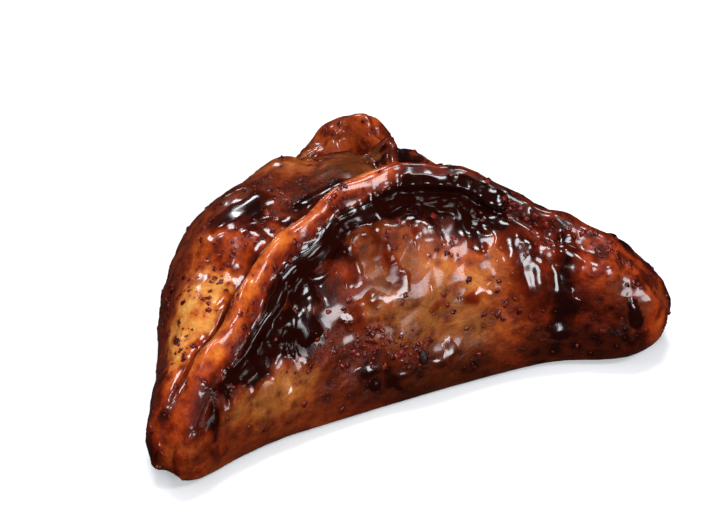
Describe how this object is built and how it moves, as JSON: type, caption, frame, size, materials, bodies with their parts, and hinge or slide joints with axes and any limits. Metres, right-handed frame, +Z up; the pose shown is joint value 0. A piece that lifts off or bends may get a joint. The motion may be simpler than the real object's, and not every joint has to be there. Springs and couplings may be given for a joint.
{
  "type": "spinach fatayer",
  "caption": "small closed triangular savoury pastry with pinched seams that meet at the top, in a dark sticky glaze with coarse spice flakes",
  "frame": {"origin": "on the plane of the flat base, under the middle of the pastry's outline", "axes": "+Z is up out of the base. +X runs along the front side, from the left corner to the right one. +Y points back to the third, upturned corner."},
  "size_m": [0.0764, 0.049, 0.0274],
  "materials": {
    "glazed_dough": "golden to orange-brown baked dough under a glossy, sticky glaze that is black-brown where it pools",
    "glaze": "wet and glossy, black-brown where thick and amber-red where thin",
    "spice": "dark burgundy flakes, half sunk in the glaze"
  },
  "bodies": {
    "root": {"fatayer": "glazed_dough"}
  },
  "joints": []
}
